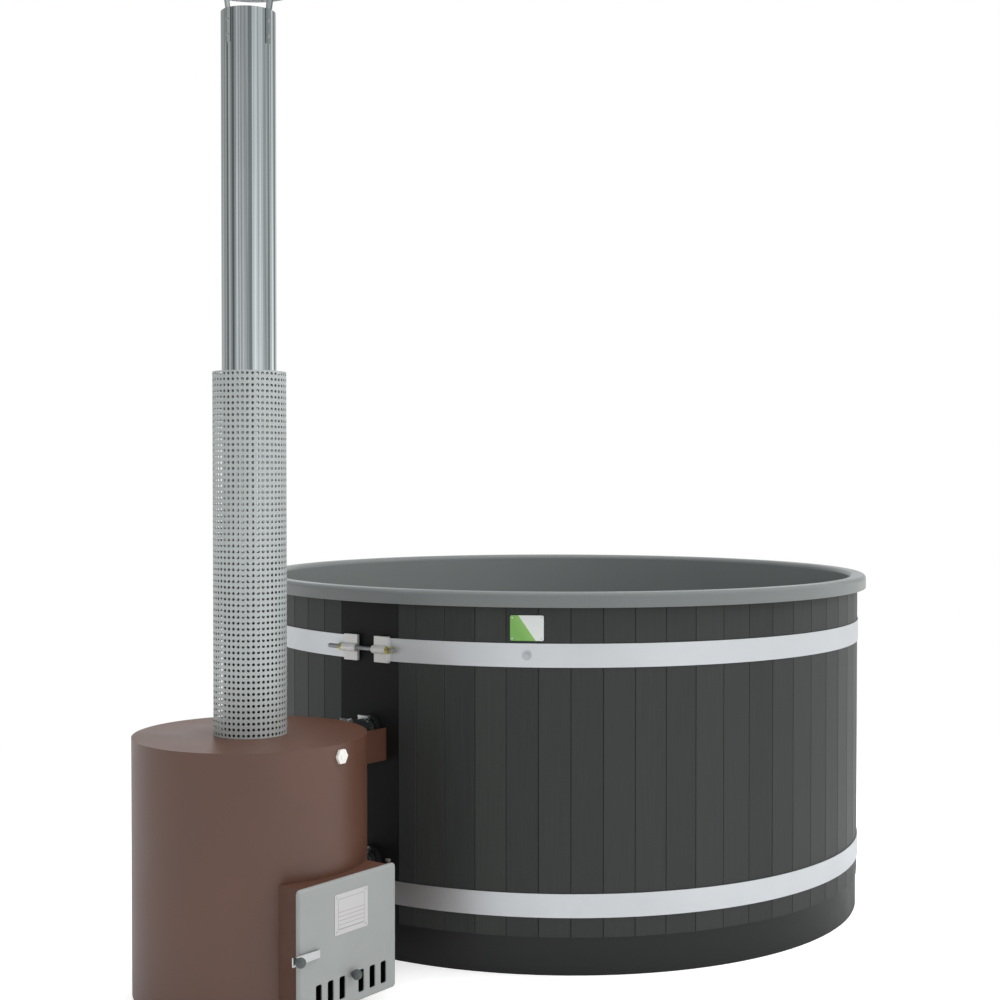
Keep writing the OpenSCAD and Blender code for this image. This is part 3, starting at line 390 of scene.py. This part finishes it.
def flue_steel():
    """Polished tube with fine lines, and long darker streaks up it that are partly dull polish and partly a
    painted reflection of dark studio bands.
    """
    look = Shader("flue_steel")
    across, height, _ = look.around(flue_radius, stove_x)
    lines = look.streaks(across, height, (900.0, 3.0))
    streak_and_painted_reflection = look.streaks(across, height, (90.0, 0.35), rough=0.65)
    cloud = look.noise(6.0, detail=4.0)
    tone = look.stain(srgb(204, 209, 210), srgb(184, 190, 191), cloud, 0.2, from_low=0.35)
    # Darker streaks: partly dull polish, partly a painted reflection of the studio's dark bands
    tone = look.stain(tone, srgb(136, 143, 143), streak_and_painted_reflection, 0.8, from_low=0.42, from_high=0.62)
    normal = look.bump(lines, strength=0.05, distance=0.0002)
    return look.finish(tone, look.vary(lines, 0.06, 0.11), normal, metal=1.0)


def tunnel_paint():
    """Stove paint outside, and soot on every face inside the door's tunnel."""
    look = Shader("tunnel_soot")
    low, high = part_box("door_frame")
    # Less than the tunnel's sheet, so that its inner faces count as inside
    inset = 0.003
    x, _, z = look.split(look.place)
    from_middle = look.math("ABSOLUTE", look.math("SUBTRACT", x, stove_x))
    across = look.math("LESS_THAN", from_middle, (high.x - low.x) / 2 - inset)
    above = look.math("GREATER_THAN", z, low.z + inset)
    below = look.math("LESS_THAN", z, high.z - inset)
    inside = look.math("MULTIPLY", across, look.math("MULTIPLY", above, below))
    cloud = look.noise(12.0, detail=5.0)
    soot = look.ramp(cloud, (noise_low, (0.004, 0.004, 0.004)), (noise_high, (0.013, 0.012, 0.011)))
    tone = look.mix(inside, srgb(94, 64, 51), soot)
    normal = look.bump(cloud, strength=0.3, distance=0.001)
    return look.finish(tone, look.spread(cloud, 0.42, 0.9), normal)


def badge():
    """Bare plate: a slanted field of two greens on pale grey, made for this part."""
    look = Shader("badge_face")
    low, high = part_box("badge_plate")
    slant = 0.6
    half_run = 0.03
    _, y, z = look.split(look.place)
    run = look.math("SUBTRACT", look.math("MULTIPLY", z, slant), y)
    middle = slant * (low.z + high.z) / 2 - (low.y + high.y) / 2
    share = look.spread(run, 0.0, 1.0, middle - half_run, middle + half_run)
    tone = look.ramp(share, (0.0, srgb(124, 180, 88)), (0.5, srgb(142, 194, 102)),
                     (0.53, srgb(234, 238, 234)), (1.0, srgb(234, 238, 236)))
    grain = look.noise(900.0, detail=2.0)
    normal = look.bump(grain, strength=0.1, distance=0.0002)
    return look.finish(tone, 0.34, normal)


def rating_form():
    """Rating plate as an empty form: a thin frame round ruled fields."""
    look = Shader("plate_aluminium")
    low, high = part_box("rating_plate")
    margin = 0.012
    half_line = 0.0006
    rule_pitch = 0.0098
    top_rule = 0.012
    x, _, z = look.split(look.place)
    across = look.math("SUBTRACT", x, (low.x + high.x) / 2)
    up = look.math("SUBTRACT", z, (low.z + high.z) / 2)
    past_side = look.math("SUBTRACT", look.math("ABSOLUTE", across), (high.x - low.x) / 2 - margin)
    past_end = look.math("SUBTRACT", look.math("ABSOLUTE", up), (high.z - low.z) / 2 - margin)

    def below(value, limit):
        return look.math("LESS_THAN", value, limit)

    def both(a, b):
        return look.math("MULTIPLY", a, b)

    inside = both(below(past_side, 0.0), below(past_end, 0.0))
    sides = both(below(look.math("ABSOLUTE", past_side), half_line), below(past_end, half_line))
    ends = both(below(look.math("ABSOLUTE", past_end), half_line), below(past_side, half_line))
    # A metre is added, so that the rule's number stays above 0
    past_rule = look.math("FRACT", look.math("DIVIDE", look.math("ADD", up, 1.0), rule_pitch))
    from_rule = look.math("ABSOLUTE", look.math("SUBTRACT", past_rule, 0.5))
    rules = both(both(below(from_rule, half_line / rule_pitch), inside), below(up, top_rule))
    ink = look.math("MAXIMUM", look.math("MAXIMUM", sides, ends), rules)
    lines = look.stretched((6.0, 6.0, 1600.0))
    tone = look.stain(srgb(197, 195, 195), srgb(210, 207, 207), lines, 1.0)
    tone = look.mix(look.math("MULTIPLY", ink, 0.6), tone, srgb(120, 112, 114))
    normal = look.bump(lines, strength=0.03, distance=0.0002)
    return look.finish(tone, look.vary(lines, 0.36, 0.46), normal, metal=0.35)


# Scales of the brushed steels: lines that lie level, or an even grain
guard_lines = (30.0, 30.0, 900.0)
lever_lines = (8.0, 8.0, 1500.0)
finest_grain = (500.0, 500.0, 500.0)
fine_grain = (400.0, 400.0, 400.0)
even_grain = (300.0, 300.0, 300.0)

made = {
    "liner_grey": liner(),
    "skirt_black": painted("skirt_black", srgb(31, 33, 32), 0.45, mottle=0.08, gloss=0.35),
    "raw_timber": timber(),
    "board_graphite": boards(),
    "strap_steel": brushed("strap_steel", srgb(220, 223, 226), 0.46, metal=0.85, depth=0.03),
    "rod_steel": threaded(),
    "nut_zinc": brushed("nut_zinc", srgb(196, 186, 110), 0.34, finest_grain),
    "badge_face": badge(),
    "rivet_steel": brushed("rivet_steel", srgb(206, 208, 210), 0.25, fine_grain),
    "fitting_black": painted("fitting_black", srgb(30, 31, 32), 0.4, mottle=0.1),
    "outlet_grey": painted("outlet_grey", srgb(105, 110, 113), 0.45),
    "rubber_black": rubber(),
    "clamp_chrome": chrome(),
    "stove_brown": stove_paint(),
    "fire_steel": cast("fire_steel", srgb(74, 69, 66), 0.6),
    "grate_iron": cast("grate_iron", srgb(56, 56, 57), 0.7),
    "plug_white": painted("plug_white", srgb(243, 241, 236), 0.35, mottle=0.04),
    "flue_steel": flue_steel(),
    "guard_steel": brushed("guard_steel", srgb(197, 202, 201), 0.5, guard_lines, metal=0.45, depth=0.05),
    "door_grey": painted("door_grey", srgb(155, 158, 156), 0.4, grain=1500.0, depth=0.1, mottle=0.03),
    "plate_aluminium": rating_form(),
    "lever_steel": brushed("lever_steel", srgb(212, 213, 214), 0.3, lever_lines),
    "knob_grey": painted("knob_grey", srgb(80, 85, 87), 0.28, grain=400.0, mottle=0.08),
}

# Nodes with a finish of their own, in place of their slot's
painted_shade_panel_finish = dict(grain=700.0, depth=0.15, mottle=0.08, gloss=0.2)
plain_steel = brushed("plain_steel", srgb(168, 172, 175), 0.36, even_grain, depth=0.05)
own = {
    # Painted shade: the panel's near-black colour stands in for the shade that the stove casts on it
    "pipe_panel": painted("panel_painted_shade", srgb(25, 27, 26), 0.55, **painted_shade_panel_finish),
    "strap_screw": brushed("screw_steel", srgb(188, 192, 196), 0.35, fine_grain, depth=0.05),
    "strap_lugs": brushed("lug_steel", srgb(226, 225, 223), 0.46, even_grain, metal=0.6, depth=0.04),
    "rain_cap": brushed("cap_steel", srgb(214, 217, 218), 0.45, even_grain, metal=0.35, depth=0.04),
    "hinge_rod": painted("rod_dull", srgb(92, 84, 79), 0.5),
    "door_frame": tunnel_paint(),
    "door_baffle": cast("baffle_soot", (0.012, 0.011, 0.011), 0.8),
    "firebox": cast("firebox_soot", (0.014, 0.013, 0.012), 0.85),
    "damper_slide": cast("damper_slide_soot", (0.02, 0.019, 0.018), 0.8),
    "damper_guides": cast("damper_guides_soot", (0.02, 0.019, 0.018), 0.8),
    "guard_spacers": plain_steel,
    "lever_pivot": plain_steel,
    "latch_tongue": plain_steel,
    "damper_stem": plain_steel,
    "baffle_studs": plain_steel,
}

slot_of = {row["node"]: row["material_slot"] for row in frame["record"]["subparts"]}
for name, obj in nodes.items():
    obj.data.materials.clear()
    obj.data.materials.append(own.get(name) or made[slot_of[name]])


# Pieces that replace a node

def new_mesh(name, points, faces, body, slot):
    """A smooth mesh object in the slot's finish that moves with the body."""
    mesh = bpy.data.meshes.new(name)
    mesh.from_pydata(points, [], faces)
    mesh.update()
    obj = bpy.data.objects.new(name, mesh)
    scene.collection.objects.link(obj)
    for polygon in mesh.polygons:
        polygon.use_smooth = True
    mesh.materials.append(made[slot])
    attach(obj, body)
    return obj


def sharpen(obj, angle):
    """Keep the edges that turn by more than the angle sharp."""
    crease = obj.modifiers.new("crease", "EDGE_SPLIT")
    crease.split_angle = angle


def guard_sheet():
    """The perforated guard with its real count of holes, each in its own cell of the rolled sheet."""
    low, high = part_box("flue_guard")
    radius = (high.x - low.x) / 2
    thickness = 0.0015
    columns, rows = 46, 62
    hole_radius, hole_steps = 0.0038, 12
    cell_turn = 2 * math.pi / columns
    cell_height = (high.z - low.z) / rows
    points, faces = [], []

    def place(turn, z):
        points.append((stove_x + radius * math.cos(turn), radius * math.sin(turn), z))
        return len(points) - 1

    def line(row, shift):
        """One point in each column, the shift and the row counted in cells."""
        return [place((column + shift) * cell_turn, low.z + row * cell_height) for column in range(columns)]

    corner = [line(row, 0.0) for row in range(rows + 1)]
    middle = [line(row, 0.5) for row in range(rows + 1)]
    side = [line(row + 0.5, 0.0) for row in range(rows)]
    for row in range(rows):
        for column in range(columns):
            turn = (column + 0.5) * cell_turn
            z = low.z + (row + 0.5) * cell_height
            hole = [place(turn + hole_radius / radius * math.cos(angle), z + hole_radius * math.sin(angle))
                    for angle in (2 * math.pi * step / hole_steps for step in range(hole_steps))]
            after = (column + 1) % columns
            rim = [side[row][after], corner[row + 1][after], middle[row + 1][column], corner[row + 1][column],
                   side[row][column], corner[row][column], middle[row][column], corner[row][after]]
            for quarter in range(4):
                first, second, third = (rim[(2 * quarter + k) % 8] for k in range(3))
                step = hole_steps // 4 * quarter
                faces.append((hole[step], first, second, hole[step + 1]))
                faces.append((hole[step + 1], second, hole[step + 2]))
                faces.append((hole[step + 2], second, third, hole[(step + 3) % hole_steps]))
    obj = new_mesh("guard_sheet", points, faces, "tub_and_stove", "guard_steel")
    solid = obj.modifiers.new("thickness", "SOLIDIFY")
    solid.thickness = thickness
    solid.offset = -1.0
    sharpen(obj, math.radians(30))
    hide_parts("flue_guard")


def rectangle_ring(width, height, corner, x, z, steps):
    """Points of a rounded rectangle in X and Z, their count the same for any size."""
    ring = []
    for quarter, (side_x, side_z) in enumerate(((1, 1), (-1, 1), (-1, -1), (1, -1))):
        for step in range(steps + 1):
            angle = (quarter + step / steps) * math.pi / 2
            ring.append((x + side_x * (width / 2 - corner) + corner * math.cos(angle),
                         z + side_z * (height / 2 - corner) + corner * math.sin(angle)))
    return ring


def circle_ring(radius, x, z, steps=32):
    angles = [2 * math.pi * step / steps for step in range(steps)]
    return [(x + radius * math.cos(angle), z + radius * math.sin(angle)) for angle in angles]


def door_sheet():
    """The door's pan with its pressed front edge rounded, and the openings of the solid."""
    low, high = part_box("door_pan")
    width, height = high.x - low.x, high.z - low.z
    x, z = (low.x + high.x) / 2, (low.z + high.z) / 2
    front, back = low.y, high.y
    skin = 0.003
    corner, corner_steps = 0.010, 6
    press, press_steps = 0.008, 6
    slot_width, slot_height, slot_corner, slot_steps = 0.0205, 0.054, 0.005, 5
    slot_pitch, slot_count = 0.040, 3
    group_gap, group_middle = 0.066, 0.009
    slot_rise = 0.021
    stem_slot_radius, stem_steps, stem_travel = 0.004, 8, 0.016
    pivot_bore = 0.00508
    points, faces = [], []

    def add(ring, y):
        first = len(points)
        points.extend((across, y, up) for across, up in ring)
        return list(range(first, first + len(ring)))

    def bridge(a, b):
        for i in range(len(a)):
            j = (i + 1) % len(a)
            faces.append((a[i], a[j], b[j], b[i]))

    def fill(outer, holes):
        loops = [outer] + holes
        flat = [i for loop in loops for i in loop]
        vectors = [[Vector((points[i][0], points[i][2], 0.0)) for i in loop] for loop in loops]
        faces.extend(tuple(flat[i] for i in triangle) for triangle in tessellate_polygon(vectors))

    def outline(inset):
        return rectangle_ring(width - 2 * inset, height - 2 * inset, corner - inset, x, z, corner_steps)

    def air_slot(hand, number):
        slot_x = x + group_middle + hand * (group_gap / 2 + number * slot_pitch)
        slot_z = low.z + slot_rise + slot_height / 2
        return rectangle_ring(slot_width, slot_height, slot_corner, slot_x, slot_z, slot_steps)

    def stem_slot():
        stem_low, stem_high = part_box("damper_stem")
        slot_x = (stem_low.x + stem_high.x) / 2 + stem_travel / 2
        slot_z = (stem_low.z + stem_high.z) / 2
        return rectangle_ring(stem_travel + 2 * stem_slot_radius, 2 * stem_slot_radius, stem_slot_radius,
                              slot_x, slot_z, stem_steps)

    def pivot_hole():
        pivot_low, pivot_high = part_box("lever_pivot")
        return circle_ring(pivot_bore, (pivot_low.x + pivot_high.x) / 2, (pivot_low.z + pivot_high.z) / 2)

    # Outside: up the side, round the pressed edge and over the front
    back_edge = add(outline(0.0), back)
    edge = back_edge
    for step in range(press_steps + 1):
        angle = step / press_steps * math.pi / 2
        ring = add(outline(press * (1 - math.cos(angle))), front + press * (1 - math.sin(angle)))
        bridge(edge, ring)
        edge = ring
    cuts = [air_slot(hand, number) for hand in (-1, 1) for number in range(slot_count)]
    cuts += [stem_slot(), pivot_hole()]
    front_holes = [add(ring, front) for ring in cuts]
    back_holes = [add(ring, front + skin) for ring in cuts]
    fill(edge, front_holes)
    for front_hole, back_hole in zip(front_holes, back_holes):
        bridge(front_hole, back_hole)
    # Inside: over the back edge, down into the pan and across its skin
    inner_edge = add(outline(skin), back)
    bridge(back_edge, inner_edge)
    pan_edge = add(outline(press), front + skin)
    bridge(inner_edge, pan_edge)
    fill(pan_edge, back_holes)
    obj = new_mesh("door_sheet", points, faces, "door", "door_grey")
    sharpen(obj, math.radians(35))
    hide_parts("door_pan")


guard_sheet()
door_sheet()


# Stage

def floor_paint():
    """Pale floor that keeps the object's shadow, and fades to white for the camera and in mirrors."""
    look = Shader("floor_pale")
    fade_start, fade_end = 1.7, 3.6
    lift = 0.46
    path = look.new("LightPath").outputs
    seen_or_mirrored = look.math("MAXIMUM", path["Is Camera Ray"], path["Is Glossy Ray"])
    x, y, _ = look.split(look.place)
    far = look.math("SQRT", look.math("ADD", look.math("POWER", x, 2.0), look.math("POWER", y, 2.0)))
    fade = look.math("MULTIPLY", seen_or_mirrored, look.spread(far, 0.0, 1.0, fade_start, fade_end))
    dust = look.spread(look.noise(3.0, detail=4.0), 0.9, 0.93)
    look.finish(look.join(dust, dust, dust), 0.9, gloss=0.0)
    lifted = look.new("AddShader")
    look.link(look.surface.outputs[0], lifted.inputs[0])
    look.link(look.light("Emission", look.math("MULTIPLY", path["Is Camera Ray"], lift)).outputs[0],
              lifted.inputs[1])
    shown = look.blend(fade, lifted.outputs[0], look.light("Emission").outputs[0])
    look.link(shown, look.tree.nodes["Material Output"].inputs["Surface"])
    return look.material


def floor():
    reach = 60.0
    mesh = bpy.data.meshes.new("floor")
    corners = [(-reach, -reach, 0), (reach, -reach, 0), (reach, reach, 0), (-reach, reach, 0)]
    mesh.from_pydata(corners, [], [(0, 1, 2, 3)])
    mesh.materials.append(floor_paint())
    obj = bpy.data.objects.new("floor", mesh)
    scene.collection.objects.link(obj)


def studio():
    """World: white to the camera, and upright bands of light and dark for the flue and straps to mirror."""
    world = bpy.data.worlds.new("studio")
    world.use_nodes = True
    world.node_tree.nodes.clear()
    look = Nodes(world.node_tree)
    band_shift = 2.1
    band_scale, band_detail = 2.6, 4.0
    dark_band, bright_band = (0.42, 0.45, 0.45), (1.6, 1.62, 1.64)
    horizon_strength, upper_strength, upper_from = 0.88, 0.45, 0.5
    front_right = (0.6, -0.8, 0.0)
    back_share, front_share = 0.6, 1.15

    place = look.new("TexCoord").outputs["Generated"]
    x, y, z = look.split(place)
    turn = look.math("ADD", look.math("ARCTAN2", y, x), band_shift)
    bands = look.line_noise(turn, band_scale, band_detail)
    haze = look.spread(look.math("ABSOLUTE", z), horizon_strength, upper_strength, from_high=upper_from)
    # The front and right of the studio are brighter than the back and left
    lean = look.spread(look.dot(place, front_right), back_share, front_share, from_low=-1.0)
    lit = look.light("Background", look.math("MULTIPLY", haze, lean))
    look.link(look.ramp(bands, (0.4, dark_band), (0.6, bright_band)), lit.inputs["Color"])
    seen = look.light("Background")
    path = look.new("LightPath").outputs
    shown = look.blend(path["Is Camera Ray"], lit.outputs[0], seen.outputs[0])
    look.link(shown, look.new("OutputWorld").inputs[0])
    return world


def softbox(name, place, target, size, power):
    """A rectangular lamp, unseen in mirrors."""
    light = bpy.data.lights.new(name, "AREA")
    light.shape = "RECTANGLE"
    light.size, light.size_y = size
    light.energy = power
    obj = bpy.data.objects.new(name, light)
    scene.collection.objects.link(obj)
    obj.visible_glossy = False
    obj.location = place
    obj.rotation_euler = (Vector(target) - Vector(place)).to_track_quat("-Z", "Y").to_euler()


def photo_camera():
    """A pinhole camera at the photo's view, fitted to the rim, the base and the upright edges."""
    camera = bpy.data.cameras.new("camera")
    camera.sensor_width = 36.0
    camera.lens = 57.085
    eye = bpy.data.objects.new("camera", camera)
    scene.collection.objects.link(eye)
    tilt_down = 1.054
    ahead_x, ahead_y = 0.7993, 0.6009
    eye.location = (-4.1215, -2.857, 1.3126)
    eye.rotation_euler = (math.radians(90 - tilt_down), 0.0, -math.atan2(ahead_x, ahead_y))
    return eye


floor()
scene.world = studio()
softbox("key", place=(3.0, -5.0, 4.5), target=(0, 0, 0.6), size=(3.0, 3.0), power=170.0)
softbox("top", place=(0.0, 0.0, 9.0), target=(0, 0, 0), size=(8.0, 8.0), power=590.0)
softbox("left", place=(-6.5, 1.5, 2.2), target=(-1.3, 0, 1.2), size=(2.4, 4.0), power=5.0)
softbox("fill", place=(-5.0, -4.5, 3.6), target=(-1.0, 0, 0.6), size=(3.0, 3.0), power=36.0)
scene.camera = photo_camera()
scene.view_settings.view_transform = "Standard"
